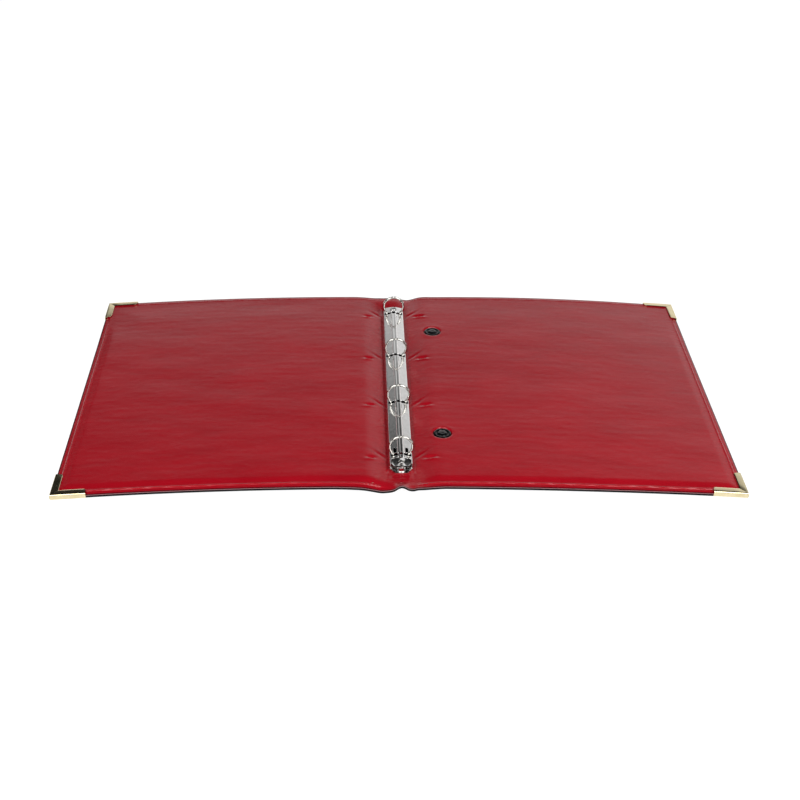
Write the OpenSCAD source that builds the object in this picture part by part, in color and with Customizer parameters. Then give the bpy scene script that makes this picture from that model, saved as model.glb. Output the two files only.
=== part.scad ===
// Four-ring binder, lying open with its inside facing up.
// X runs across the covers, Y along the spine towards the top of the page, Z up.
// The origin is on the supporting surface, under the middle of the spine.

/* [Covers] */
// Width of the opened binder over both covers
open_w = 562; // [540:1:580]
// Height of the covers along the spine
cover_h = 320; // [310:1:330]
// Thickness of the stiff board in each cover
board_t = 1.9; // [1.5:0.1:2.0]
// Thickness of the foam that pads the inside of each cover
padding_t = 0.8; // [0.6:0.1:1.0]
// Thickness of each vinyl sheet
sheet_t = 0.6; // [0.5:0.05:0.6]
// Width of the welded flange where the two sheets meet
flange_w = 4; // [3:0.5:5]
// Radius to which the covers have bowed
bow_r = 3185; // [2800:5:6000]

/* [Spine] */
// Distance of each cover's folding line from the middle of the spine
hinge_x = 16.8; // [16.8:0.1:18]
// Half the width left free of solid material at each fold
hinge_gap = 2.6; // [2.5:0.1:3]
// Thickness of the stiffening strip in the spine
spine_board_t = 1.2; // [1:0.1:1.2]

/* [Ring mechanism] */
// Distance between neighbouring rings
ring_pitch = 80; // [80:1:80]
// Radius of the ring's centre line
ring_r = 9.5; // [9.4:0.1:9.6]
// Diameter of the ring wire
wire_d = 2.2; // [2:0.1:2.3]
// Full swing of each ring half between closed and open
ring_swing = 16; // [12:1:16]
// Width of the cover plate
plate_w = 19; // [19:0.5:20]
// Thickness of the cover plate's steel
plate_t = 0.6; // [0.5:0.1:0.6]

/* [Corners and studs] */
// Length of each leg of the metal corners
corner_leg = 29; // [20:1:35]
// Width of the metal corner's lips
corner_lip = 6.5; // [5:0.5:8]
// Thickness of the metal corners
corner_t = 0.5; // [0.4:0.1:0.6]
// Diameter of the black stud heads
stud_d = 15; // [12:0.5:16]

/* [Hidden] */
$fn = 48;

SKIN = "black";
LINING = "firebrick";
BOARD = "tan";
FOAM = "ivory";
STEEL = "silver";
BRASS = "gold";
PLASTIC = "dimgray";

// Covers, measured outwards from the middle of the spine
cover_x0 = hinge_x + hinge_gap;
cover_x1 = open_w / 2;
cover_half_h = cover_h / 2;
board_x0 = cover_x0 + 2.4;
board_x1 = cover_x1 - flange_w - 1;
board_half_h = cover_half_h - flange_w - 1;
stack_t = 2 * sheet_t + board_t + padding_t;
bow_x0 = 35;
bow_steps = 20;
corner_gap = 0.08;
corner_lean = 0.12;
edge_x = cover_x1 + corner_gap + corner_lean + corner_t;
function droop(x) = x <= bow_x0 ? 0 : pow(x - bow_x0, 2) / (2 * bow_r);
crest_z = droop(edge_x) + corner_t + corner_gap;
bow_line = concat(
    [[0, crest_z], [bow_x0, crest_z]],
    [for (i = [1 : bow_steps])
        let (x = bow_x0 + (cover_x1 + 2 - bow_x0) * i / bow_steps) [x, crest_z - droop(x)]]
);
// Height of the covers' underside at a distance x from the spine's middle
function under(x) = lookup(x, bow_line);
big = 400;

// Spine
spine_z0 = 7.1;
spine_half_w = hinge_x - hinge_gap;
spine_board_w = 23;
spine_end = 6;
spine_top = spine_z0 + 2 * sheet_t + spine_board_t;

// Ring mechanism
ring_y = [for (i = [0 : 3]) (1.5 - i) * ring_pitch];
ring_z = 24;
wire_r = wire_d / 2;
foot_x = 6.3;
foot_angle = acos(foot_x / ring_r);
foot_z = ring_z - ring_r * sin(foot_angle);
tip_gap = 0.3;
plate_hw = plate_w / 2;
base_z = spine_top;
shoulder_r = 1.3;
shoulder_z = base_z + 4.4;
roof_angle = 12.4;
roof_z = base_z + 7;
rib_hw = 2.3;
rib_h = 0.6;
plate_far = 132;
plate_near = -138;
roof_near = -125.3;
rivet_far_y = 127.5;
rivet_near_y = -134.2;
rivet_r = 1.6;
hem_w = 1;
hem_h = 2.2;
pivot_x = 8.3;
pivot_z = base_z + 2.9;
rail_t = 1;
rail_w = 8.15;
rail_far = 124.5;
rail_near = -122.6;
rest_tilt = ring_swing / 2;

// Lever
lever_y = -126.5;
lever_z = base_z + 2.5;
pin_r = 1;
pin_play = 0.05;
hub_r = 2.3;
hub_hw = 3.5;
finger_hw = 1.2;
finger_reach = 4.9;
pad_r = 8;
pad_y = -5.2;

// Studs through the back cover
stud_x = 36.2;
stud_y = [88.2, -85.5];
stud_hole_r = stud_d / 2 + 0.2;
shank_r = 2.5;
cap_pin_r = 1.5;
cap_r = 6.5;
cap_t = 1;

// ---------- shared shapes ----------

// Upright block between two corners
module block(low, high) {
    translate(low) cube(high - low);
}

// Extrudes a section drawn in X and Z along Y
module along_y(y0, y1) {
    translate([0, y1, 0]) rotate([90, 0, 0]) linear_extrude(y1 - y0) children();
}

// Bowed layer of a cover from x0 to x1, between two heights over the underside
module bowed(x0, x1, half_h, low, high) {
    xs = concat([x0], [for (p = bow_line) if (p[0] > x0 && p[0] < x1) p[0]], [x1]);
    floor_line = [for (x = xs) [x, under(x) + low]];
    roof_line = [for (i = [len(xs) - 1 : -1 : 0]) [xs[i], under(xs[i]) + high]];
    along_y(-half_h, half_h) polygon(concat(floor_line, roof_line));
}

module stud_holes(r) {
    for (y = stud_y) translate([stud_x, y, 0]) cylinder(r = r, h = 40);
}

// Puts a cover part on the front cover, which is the one on the -X side
module front() {
    mirror([1, 0, 0]) children();
}

// ---------- covers ----------

module outer_sheet() {
    color(SKIN) bowed(cover_x0, cover_x1, cover_half_h, 0, sheet_t);
}

module board() {
    color(BOARD) bowed(board_x0, board_x1, board_half_h, sheet_t, sheet_t + board_t);
}

module padding() {
    low = sheet_t + board_t;
    color(FOAM) bowed(board_x0, board_x1, board_half_h, low, low + padding_t);
}

// Lining that covers the padding and comes down to the outer sheet in a flat flange
module lining() {
    color(LINING) difference() {
        union() {
            bowed(cover_x0, cover_x1, cover_half_h, sheet_t, 2 * sheet_t);
            bowed(board_x0 - sheet_t, board_x1 + sheet_t, board_half_h + sheet_t, sheet_t, stack_t);
        }
        bowed(board_x0, board_x1, board_half_h, 0, stack_t - sheet_t);
    }
}

// L-shaped channel folded over the cover's corner, drawn with its tip at the origin,
// its legs along -X and +Y and its middle height at zero
module corner_channel() {
    half = stack_t / 2 + corner_gap;
    outer = half + corner_t;
    difference() {
        union() {
            block([-corner_leg, 0, -outer], [0, corner_lip, outer]);
            block([-corner_lip, 0, -outer], [0, corner_leg, outer]);
        }
        block([-big, corner_t, -half], [-corner_t, big, half]);
        corner_cut(-corner_leg, corner_lip);
        corner_cut(-corner_lip, corner_leg);
    }
}

// Rounds the inner corner of a leg's free end
module corner_cut(x, y) {
    round_r = 3;
    translate([x, y, 0]) difference() {
        block([-1, -round_r, -big], [round_r, 1, big]);
        translate([round_r, -round_r, -big]) cylinder(r = round_r, h = 2 * big);
    }
}

module lower_corner() {
    mid_x = cover_x1 - corner_leg / 2;
    slope = atan((mid_x - bow_x0) / bow_r);
    color(BRASS)
        translate([edge_x, -cover_half_h - corner_gap - corner_t, under(edge_x) + stack_t / 2])
            rotate([0, slope, 0]) corner_channel();
}

module upper_corner() {
    mirror([0, 1, 0]) lower_corner();
}

// ---------- studs ----------

// Ridged head with a hollow shank that goes through board and outer sheet
module stud(y) {
    seat = crest_z + sheet_t + board_t;
    color(PLASTIC) translate([stud_x, y, 0]) difference() {
        union() {
            translate([0, 0, seat]) cylinder(r = stud_d / 2, h = 0.7);
            translate([0, 0, seat]) cylinder(r = stud_d / 2 - 2.2, h = 1);
            translate([0, 0, crest_z]) cylinder(r = shank_r, h = seat - crest_z + 1.3);
        }
        translate([0, 0, seat + 0.6]) difference() {
            cylinder(r = stud_d / 2 - 3.2, h = 5);
            cylinder(r = shank_r, h = 5);
        }
        cylinder(r = cap_pin_r, h = 40);
    }
}

// Flat cap on the outside, with the pin that spreads the stud's shank
module stud_cap(y) {
    low = under(stud_x + cap_r) - cap_t;
    color(PLASTIC) translate([stud_x, y, low]) {
        cylinder(r = cap_r, h = cap_t);
        cylinder(r = cap_pin_r, h = cap_t + stack_t - 0.6);
    }
}

// ---------- spine ----------

module spine_outer_sheet() {
    color(SKIN) difference() {
        block([-spine_half_w, -cover_half_h, spine_z0],
              [spine_half_w, cover_half_h, spine_z0 + sheet_t]);
        rivet_holes();
    }
}

module spine_board() {
    color(BOARD) difference() {
        block([-spine_board_w / 2, -cover_half_h + spine_end, spine_z0 + sheet_t],
              [spine_board_w / 2, cover_half_h - spine_end, spine_top - sheet_t]);
        rivet_holes();
    }
}

module spine_lining() {
    half_w = spine_board_w / 2;
    half_h = cover_half_h - spine_end;
    color(LINING) difference() {
        union() {
            block([-spine_half_w, -cover_half_h, spine_z0 + sheet_t],
                  [spine_half_w, cover_half_h, spine_z0 + 2 * sheet_t]);
            block([-half_w - sheet_t, -half_h - sheet_t, spine_z0 + sheet_t],
                  [half_w + sheet_t, half_h + sheet_t, spine_top]);
        }
        block([-half_w, -half_h, 0], [half_w, half_h, spine_top - sheet_t]);
        rivet_holes();
    }
}

module rivet_holes() {
    for (y = [rivet_far_y, rivet_near_y]) translate([0, y, 0]) cylinder(r = rivet_r, h = 40);
}

// ---------- ring mechanism ----------

// Right half of the plate's outline at a depth t under its outer face
function plate_side(t) = concat(
    [[plate_hw - t, base_z - (t > 0 ? 1 : 0)]],
    [for (i = [0 : 6]) let (a = (90 - roof_angle) * i / 6)
        [plate_hw - shoulder_r + (shoulder_r - t) * cos(a), shoulder_z + (shoulder_r - t) * sin(a)]],
    [[rib_hw, roof_z - t]]
);
function mirrored(points) = [for (i = [len(points) - 1 : -1 : 0]) [-points[i][0], points[i][1]]];
function plate_outline(t) = concat(plate_side(t), mirrored(plate_side(t)));

module plate_section() {
    difference() {
        polygon(plate_outline(0));
        polygon(plate_outline(plate_t));
    }
    for (side = [-1, 1])
        translate([side * (plate_hw - plate_t - hem_w / 2), base_z + hem_h / 2])
            square([hem_w + 0.02, hem_h], center = true);
}

module rib_section() {
    polygon([[-rib_hw, roof_z - 0.1], [rib_hw, roof_z - 0.1],
             [rib_hw - 0.5, roof_z + rib_h], [0.5 - rib_hw, roof_z + rib_h]]);
}

// Openings through the roof for one ring: a slot for each wire and an oval in the rib
module ring_openings() {
    slot_hw = 1.9;
    for (side = [0, 1]) mirror([side, 0, 0])
        block([2.6, -slot_hw, roof_z - 3], [8.6, slot_hw, roof_z + 2]);
    for (x = [-0.2, 0, 0.2]) translate([x, 0, roof_z - 3]) cylinder(r = 1.7, h = 5);
}

// Plan of the narrowed near end, as the corner that is cut away on the right
module end_corner(inset) {
    near_hw = 5.7;
    chamfer_y = plate_near + 6.5;
    translate([0, 0, base_z - 1]) linear_extrude(20) polygon([
        [plate_hw - inset, chamfer_y], [plate_hw + 2, chamfer_y],
        [plate_hw + 2, plate_near - 1], [near_hw - inset - 0.6, plate_near - 1]
    ]);
}

module cover_plate() {
    end_wall_h = 1.2;
    tab_far = -128.6;
    color(STEEL) difference() {
        union() {
            difference() {
                union() {
                    along_y(plate_near, plate_far) plate_section();
                    along_y(plate_far - plate_t, plate_far) polygon(plate_outline(0));
                    along_y(roof_near, rail_far - 1.5) rib_section();
                }
                block([-8.3, plate_near - 1, base_z + plate_t], [8.3, roof_near, roof_z + 5]);
                for (side = [0, 1]) mirror([side, 0, 0]) end_corner(plate_t);
            }
            // tab under the lever, with the turned-up walls along its slanted corners
            difference() {
                union() {
                    block([-plate_hw, plate_near, base_z], [plate_hw, tab_far, base_z + plate_t]);
                    intersection() {
                        block([-plate_hw, plate_near, base_z],
                              [plate_hw, plate_near + 8, base_z + end_wall_h]);
                        for (side = [0, 1]) mirror([side, 0, 0]) end_corner(plate_t);
                    }
                }
                for (side = [0, 1]) mirror([side, 0, 0]) end_corner(0);
            }
        }
        for (y = ring_y) translate([0, y, 0]) ring_openings();
        for (side = [0, 1]) mirror([side, 0, 0])
            block([3.7, -117.4, roof_z - 3], [6.2, -110.4, roof_z + 2]);
        rivet_holes();
        translate([-big / 2, lever_y, lever_z]) rotate([0, 90, 0]) cylinder(r = pin_r, h = big);
    }
}

module lever_pin() {
    color(STEEL) translate([-plate_hw, lever_y, lever_z]) rotate([0, 90, 0])
        cylinder(r = pin_r, h = plate_w);
}

// Tubular rivet from the plate down through the spine, with its rolled foot outside
module rivet(y, seat) {
    head_r = 3.4;
    washer_z = spine_z0 - 0.6;
    color(STEEL) translate([0, y, 0]) difference() {
        union() {
            translate([0, 0, seat]) cylinder(r = head_r, h = 0.5);
            translate([0, 0, seat + 0.5]) cylinder(r1 = head_r, r2 = head_r - 0.6, h = 0.5);
            translate([0, 0, washer_z - 0.5]) cylinder(r = rivet_r, h = seat - washer_z + 1);
            translate([0, 0, washer_z - 0.5]) cylinder(r = head_r - 0.6, h = 0.5);
        }
        cylinder(r = rivet_r - 0.6, h = seat - 0.4);
        translate([0, 0, seat + 0.4]) cylinder(r1 = 1.4, r2 = 2, h = 0.7);
    }
}

module washer(y) {
    color(STEEL) translate([0, y, spine_z0 - 0.6]) difference() {
        cylinder(r = 4.5, h = 0.6);
        translate([0, 0, -1]) cylinder(r = rivet_r, h = 3);
    }
}

// Upset foot of the ring wire, swelling a little so that it takes in the end of the arc
module ring_leg() {
    translate([foot_x, 0, pivot_z - 1.2]) cylinder(r = wire_r + 0.15, h = foot_z + 0.9 - pivot_z + 1.2);
}

// Half ring on the +X side, with the leg that is riveted into its rail
module ring_half(y) {
    color(STEEL) translate([0, y, 0]) {
        translate([0, 0, ring_z]) rotate([90, -foot_angle, 180]) mirror([1, 0, 0])
            rotate_extrude(angle = foot_angle + 90 - tip_gap) translate([ring_r, 0]) circle(wire_r);
        ring_leg();
        translate([foot_x, 0, pivot_z - 1.7]) cylinder(r = 1.45, h = 0.5);
    }
}

// Spring-steel rail on the +X side, tilted down towards the middle while the rings are closed
module rail() {
    color(STEEL) difference() {
        translate([pivot_x, 0, pivot_z]) rotate([0, -rest_tilt, 0]) {
            block([-rail_w, rail_near, -rail_t / 2], [0, rail_far, rail_t / 2]);
            along_y(rail_near, rail_far) circle(rail_t / 2);
        }
        for (y = ring_y) translate([0, y, 0]) ring_leg();
    }
}

// Pressed-steel lever: two fingers that hold the rails' ends, a hub on the pin and a thumb pad
module lever_side() {
    polygon([
        [finger_reach, 0.4], [finger_reach, 1.2], [1.6, 1.9], [0.7, 3.7], [-1, 4.4],
        [-5, 4.7], [-9.2, 4.8], [-10.6, 4.6], [-11.4, 4.1], [-11.4, 3.5], [-10.6, 3.8], [-9.2, 3.9],
        [-5, 3.8], [-2.6, 3.2], [-2.1, 0], [0, -2.2], [finger_reach, -2.2], [finger_reach, -1.4],
        [1.9, -1.2], [1.9, 0.4]
    ]);
}

module lever_plan() {
    intersection() {
        translate([0, pad_y]) circle(pad_r);
        translate([-pad_r, pad_y - pad_r]) square([2 * pad_r, pad_r - pad_y]);
    }
    translate([-hub_hw, -3]) square([2 * hub_hw, 3 + hub_r]);
    translate([-finger_hw, 0]) square([2 * finger_hw, finger_reach]);
}

module trigger_lever() {
    color(STEEL) translate([0, lever_y, lever_z]) difference() {
        union() {
            intersection() {
                rotate([90, 0, 90]) translate([0, 0, -pad_r]) linear_extrude(2 * pad_r) lever_side();
                translate([0, 0, -10]) linear_extrude(30) lever_plan();
            }
            translate([-hub_hw, 0, 0]) rotate([0, 90, 0]) cylinder(r = hub_r, h = 2 * hub_hw);
        }
        translate([-big / 2, 0, 0]) rotate([0, 90, 0]) cylinder(r = pin_r + pin_play, h = big);
    }
}

// ---------- the nodes ----------

spine_outer_sheet();
spine_board();
spine_lining();
cover_plate();
lever_pin();
rivet(rivet_far_y, roof_z);  // far_rivet
rivet(rivet_near_y, base_z + plate_t);  // near_rivet
washer(rivet_far_y);  // far_washer
washer(rivet_near_y);  // near_washer
rail();  // right_rail
front() rail();  // left_rail
for (i = [0 : 3]) {
    ring_half(ring_y[i]);
    front() ring_half(ring_y[i]);
}
trigger_lever();
front() outer_sheet();  // front_outer_sheet
front() board();  // front_board
front() padding();  // front_padding
front() lining();  // front_lining
front() upper_corner();  // front_upper_corner
front() lower_corner();  // front_lower_corner
difference() { outer_sheet(); stud_holes(shank_r); }  // back_outer_sheet
difference() { board(); stud_holes(shank_r); }  // back_board
difference() { padding(); stud_holes(stud_hole_r); }  // back_padding
difference() { lining(); stud_holes(stud_hole_r); }  // back_lining
upper_corner();  // back_upper_corner
lower_corner();  // back_lower_corner
stud(stud_y[0]);  // upper_stud
stud(stud_y[1]);  // lower_stud
stud_cap(stud_y[0]);  // upper_stud_cap
stud_cap(stud_y[1]);  // lower_stud_cap
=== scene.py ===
import math

import bmesh
import bpy
import numpy as np
from mathutils import Matrix, Vector


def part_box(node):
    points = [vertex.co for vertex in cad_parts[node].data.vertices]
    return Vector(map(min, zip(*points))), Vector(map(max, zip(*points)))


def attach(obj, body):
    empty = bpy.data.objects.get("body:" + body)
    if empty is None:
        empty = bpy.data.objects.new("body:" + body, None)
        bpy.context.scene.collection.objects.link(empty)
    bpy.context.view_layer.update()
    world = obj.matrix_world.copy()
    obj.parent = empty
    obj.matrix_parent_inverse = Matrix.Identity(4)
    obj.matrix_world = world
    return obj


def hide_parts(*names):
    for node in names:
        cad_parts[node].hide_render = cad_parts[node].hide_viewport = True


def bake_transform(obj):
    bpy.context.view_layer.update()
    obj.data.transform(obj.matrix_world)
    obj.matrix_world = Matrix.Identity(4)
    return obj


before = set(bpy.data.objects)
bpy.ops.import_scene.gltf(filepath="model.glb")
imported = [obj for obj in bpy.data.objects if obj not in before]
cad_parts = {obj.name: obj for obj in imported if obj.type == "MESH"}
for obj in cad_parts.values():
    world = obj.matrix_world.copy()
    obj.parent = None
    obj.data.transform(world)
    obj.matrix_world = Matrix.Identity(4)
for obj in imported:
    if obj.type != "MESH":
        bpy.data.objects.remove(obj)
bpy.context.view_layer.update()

MM = 0.001

# ---------------------------------------------------------------- sizes, all in millimetres

SHEET_T = 0.6
WIRE_R = 1.1
RING_FOOT_X = 6.3
# heights over the underside: the board, and the lining where it is welded to the sheet
BOARD_LOW = 0.75
BOARD_TOP = 2.35
WELD_Z = 1.58
# the corners' outer faces stand this far outside the covers' edges, and are this long
CORNER_OUT_X = 0.70
CORNER_OUT_Y = 0.58
CORNER_LEG = 29.0
cover_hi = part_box("back_outer_sheet")[1]
COVER_X = cover_hi.x / MM
HALF_H = cover_hi.y / MM
# underside of the binder: the spine's height, and the height of the covers' highest part
SPINE_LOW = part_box("spine_outer_sheet")[0].z / MM
CREST = (cover_hi.z / MM) - SHEET_T
# a cover is level as far as BOW_X0 from the middle, then bends down on the radius BOW_R
BOW_X0 = 35.0
BOW_R = 3185.0
# share of the rise from the spine to the crest, by distance from the middle
SPINE_RISE = [(9.0, 0.0), (13.0, 0.14), (17.0, 0.34), (21.0, 0.56), (25.0, 0.76), (29.0, 0.91),
              (34.0, 1.0), (40.0, 1.0)]
TWIST = 0.8
RING_Y = [120.0, 40.0, -40.0, -120.0]
# each stud's middle and the height of its CAD head
STUDS = []
for node in ("upper_stud", "lower_stud"):
    a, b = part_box(node)
    STUDS.append(((a.x + b.x) / 2 / MM, (a.y + b.y) / 2 / MM, b.z / MM))


def smooth(t):
    t = np.clip(t, 0.0, 1.0)
    return t * t * (3.0 - 2.0 * t)


def ramp(a, b, x):
    return smooth((x - a) / (b - a))


def hill(x, centre, width):
    return np.exp(-(((x - centre) / width) ** 2) / 2.0)


def through(x, points):
    """A smooth curve through a few points, flat at each end."""
    px = np.array([p[0] for p in points], float)
    py = np.array([p[1] for p in points], float)
    slope = np.gradient(py, px)
    slope[0] = slope[-1] = 0.0
    x = np.clip(x, px[0], px[-1])
    i = np.clip(np.searchsorted(px, x) - 1, 0, len(px) - 2)
    w = px[i + 1] - px[i]
    t = (x - px[i]) / w
    return (
        (2 * t**3 - 3 * t**2 + 1) * py[i]
        + (t**3 - 2 * t**2 + t) * w * slope[i]
        + (-2 * t**3 + 3 * t**2) * py[i + 1]
        + (t**3 - t**2) * w * slope[i + 1]
    )


def wander(x, y, seed, scale_x, scale_y, count=14):
    """Seeded, smooth, wave-like wandering between about -1 and 1."""
    rng = np.random.default_rng(seed)
    total = np.zeros_like(x)
    for _ in range(count):
        fx = rng.normal() / scale_x
        fy = rng.normal() / scale_y
        total += np.sin(fx * x + fy * y + rng.uniform(0, 2 * math.pi))
    return total / math.sqrt(count)


# ---------------------------------------------------------------- the binder's form


def base_under(x, y=0.0):
    """Underside at rest: flat spine, soft fold, then a bowed cover, with a slight twist on the right."""
    s = np.abs(x)
    cover = CREST - np.where(s > BOW_X0, (s - BOW_X0) ** 2 / (2 * BOW_R), 0.0)
    twist = np.sin(math.pi * np.clip((x - BOW_X0) / (COVER_X - BOW_X0), 0, 1)) * y / HALF_H
    return SPINE_LOW + (cover - SPINE_LOW) * through(s, SPINE_RISE) + TWIST * twist


# rise of the soft ends of the spine, by distance from the middle
NEAR_WAVE = [(-60, 0.0), (-42, -0.5), (-30, -1.3), (-23, -1.9), (-17, -2.1), (-11, -0.9), (-6, 0.6),
             (-2, 3.4), (0, 3.9), (2, 3.2), (5.5, 1.2), (8.6, 0.7), (13, 1.2), (18, 0.7), (26, 0.1),
             (40, 0.0)]
FAR_WAVE = [(-40, 0.0), (-26, 0.0), (-18, 0.9), (-12, 1.9), (-5, 2.2), (3, 1.9), (9, 0.8),
            (14.5, -0.6), (19, -0.6), (24, 0.0), (40, 0.0)]
# how far in from the free edge the near wave reaches; the far one reaches three times as far
WAVE_REACH = 11.0


def end_wave(x, y):
    """How far the soft ends of the spine have curled up or sunk, beyond the spine's board."""
    near = through(x, NEAR_WAVE) * (1.0 - ramp(0.0, WAVE_REACH, y + HALF_H))
    far = through(x, FAR_WAVE) * (1.0 - ramp(0.0, WAVE_REACH * 3.0, HALF_H - y))
    return near + far


def edge_distance(x, y):
    """Distance from the free edges, blended where two of them meet."""
    a = HALF_H - np.abs(y)
    b = COVER_X - np.abs(x)
    k = 5.0
    h = np.clip(0.5 + 0.5 * (b - a) / k, 0.0, 1.0)
    return b * (1 - h) + a * h - k * h * (1 - h) * 0.6


def pad_height(e, y):
    """Padded lining over the cover's underside: a sloping welded flange, then a soft roll up on to the pad.
    The roll is longer and flatter towards the far end."""
    far = ramp(60.0, 140.0, y)
    flange = 1.98 + 0.6 * far + (1.02 - 0.5 * far) * np.clip(e / 4.6, 0.0, 1.0) ** 0.8
    roll = 1.15 * ramp(4.6, 13.5, e) * (1.0 - far) + 0.55 * ramp(4.6, 46.0, e) * far
    return flange + roll + 0.12 * (1.0 - np.exp(-np.maximum(e, 0.0) / 40.0))


def weld_seam(x, y, e):
    """Pressed seam line with its row of small raised ticks."""
    along_y = (COVER_X - np.abs(x)) < (HALF_H - np.abs(y))
    along = np.where(along_y, y, x)
    wobble = 0.22 * wander(x, y, 3, 30.0, 30.0, 8)
    e = e + wobble
    groove = -0.3 * hill(e, 3.5, 0.5)
    ridge = 0.5 * hill(e, 4.7, 0.5)
    ticks = 0.16 * hill(e, 4.7, 0.6) * np.cos(2 * math.pi * along / 3.1)
    fade = (ramp(11.0, 20.0, np.abs(x)) * 0.85 + 0.15) * (1.0 - 0.6 * ramp(60.0, 140.0, y))
    return (groove + ridge + ticks) * fade


def ring_puckers(x, y):
    """Dents that the rings have pressed into the lining, and the creases from the rings' feet to them."""
    z = np.zeros_like(x)
    for k, y0 in enumerate(RING_Y):
        for side, x0, long in ((-1, 24.6, 2.3), (1, 24.8, 2.9)):
            u = side * x
            dy = y - (y0 + 0.8)
            tilt = dy + 0.16 * (u - x0)
            depth = 1.0 + 0.15 * math.sin(2.3 * k + side)
            z -= 1.15 * depth * hill(u, x0, long) * hill(tilt, 0.0, 1.2)
            z += 0.42 * depth * hill(u, x0 + 0.5, long * 1.2) * hill(tilt, -2.8, 1.1)
            # crease from the ring's foot, up and out past the dent
            line = dy - (2.3 + 0.72 * (u - 12.0))
            z -= 0.36 * hill(line, 0.0, 1.3) * hill(u, 17.5, 3.9)
            z += 0.12 * hill(line, 3.2, 1.8) * hill(u, 17.5, 4.2)
    return z


def stud_wells(x, y):
    """Share of the way down into the studs' round holes, and the puff of lining round them."""
    well = np.zeros_like(x)
    puff = np.zeros_like(x)
    for sx, sy, _ in STUDS:
        r = np.hypot(x - sx, y - sy)
        well = np.maximum(well, 1.0 - ramp(7.75, 8.15, r))
        puff += 0.1 * hill(r, 9.8, 1.5) - 0.3 * (1.0 - ramp(7.8, 9.6, r)) + 0.16 * hill(r, 8.5, 0.3)
    return well, puff


def lining_top(x, y):
    """Upper face of the red lining."""
    s = np.abs(x)
    e = edge_distance(x, y)
    end = HALF_H - np.abs(y)
    on_cover = ramp(11.0, 31.0, s)
    spine = 1.98 + 0.42 * smooth(end / 8.0)
    height = pad_height(e, y) * on_cover + spine * (1.0 - on_cover)
    z = base_under(x, y) + height + end_wave(x, y)
    # tucked in beside the mechanism
    z -= 0.55 * hill(s, 10.0, 1.2) * ramp(14.0, 24.0, end)
    z += weld_seam(x, y, e)
    inside = ramp(5.0, 18.0, e)
    z += ring_puckers(x, y)
    z += on_cover * inside * (0.07 * wander(x, y, 5, 20.0, 9.0) + 0.02 * wander(x, y, 8, 7.0, 2.4, 26))
    # slack between the rings, just inside the board's edge
    z += 0.08 * hill(x, -26.0, 3.0) * inside + 0.06 * hill(x, 27.5, 3.0) * inside
    well, puff = stud_wells(x, y)
    floor_z = base_under(x, y) + BOARD_TOP
    z = z + puff
    return z * (1.0 - well) + np.minimum(z, floor_z) * well


def lining_bottom(x, y, top):
    """Lower face of the lining, which comes down to the weld along the free edges."""
    e = edge_distance(x, y)
    s = np.abs(x)
    thick = 0.55 + 0.75 * ramp(4.0, 9.0, e) * ramp(22.0, 26.0, s)
    well, _ = stud_wells(x, y)
    under = top - (thick * (1 - well) + 0.2 * well)
    weld = base_under(x, y) + WELD_Z + end_wave(x, y)
    near_rim = 1.0 - ramp(3.8, 5.4, np.minimum(e, HALF_H - np.abs(y)))
    return np.minimum(under * (1 - near_rim) + weld * near_rim, top - 0.2)


def skin_top(x, y):
    """Upper face of the outer sheet, raised to the weld along the free edges."""
    e = edge_distance(x, y)
    z = base_under(x, y) + end_wave(x, y)
    return z + SHEET_T + (WELD_Z - SHEET_T) * (1.0 - ramp(2.6, 4.4, e))


def skin_bottom(x, y):
    """Lower face of the outer sheet. Its near and far hems hang a little where they are off the table."""
    low = base_under(x, y)
    hem = 0.3 * (1.0 - smooth((HALF_H - np.abs(y)) / 1.8)) * np.clip(low / 1.5 - 0.3, 0.0, 1.0)
    return low + end_wave(x, y) + 0.12 * (1.0 - smooth(edge_distance(x, y) / 0.7)) - 1.4 * hem


# ---------------------------------------------------------------- mesh helpers


def lines(*stretches):
    """Grid lines through stretches of (start, end, step), without repeats."""
    out = []
    for a, b, step in stretches:
        n = max(1, int(round((b - a) / step)))
        out += [a + (b - a) * i / n for i in range(n)]
    out.append(stretches[-1][1])
    return np.array(out)


def sheet_solid(name, xs, ys, top_f, bottom_f, materials):
    """Closed sheet between two height functions. Material 1 is its cut edge."""
    gx, gy = np.meshgrid(xs, ys, indexing="ij")
    top = top_f(gx, gy)
    bottom = bottom_f(gx, gy, top)
    nx, ny = gx.shape
    upper = np.stack([gx, gy, top], -1).reshape(-1, 3)
    lower = np.stack([gx, gy, bottom], -1).reshape(-1, 3)
    verts = np.concatenate([upper, lower]) * MM
    idx = np.arange(nx * ny).reshape(nx, ny)
    q = np.stack([idx[:-1, :-1], idx[1:, :-1], idx[1:, 1:], idx[:-1, 1:]], -1).reshape(-1, 4)
    under_q = q[:, ::-1] + nx * ny
    rim = np.concatenate([idx[:, 0], idx[-1, 1:], idx[-2::-1, -1], idx[0, -2:0:-1]])
    nxt = np.roll(rim, -1)
    wall = np.stack([rim, rim + nx * ny, nxt + nx * ny, nxt], -1)
    faces = np.concatenate([q, under_q, wall])
    me = bpy.data.meshes.new(name)
    me.vertices.add(len(verts))
    me.vertices.foreach_set("co", verts.astype(np.float32).ravel())
    me.loops.add(faces.size)
    me.loops.foreach_set("vertex_index", faces.astype(np.int32).ravel())
    me.polygons.add(len(faces))
    me.polygons.foreach_set("loop_start", np.arange(0, faces.size, 4, dtype=np.int32))
    slots = np.zeros(len(faces), np.int32)
    slots[len(q) + len(under_q):] = len(materials) - 1
    me.polygons.foreach_set("material_index", slots)
    me.update(calc_edges=True)
    for m in materials:
        me.materials.append(m)
    flat_uv(me)
    bm = bmesh.new()
    bm.from_mesh(me)
    bmesh.ops.recalc_face_normals(bm, faces=bm.faces)
    bm.to_mesh(me)
    bm.free()
    shade(me, 50)
    return link(name, me)


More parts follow.
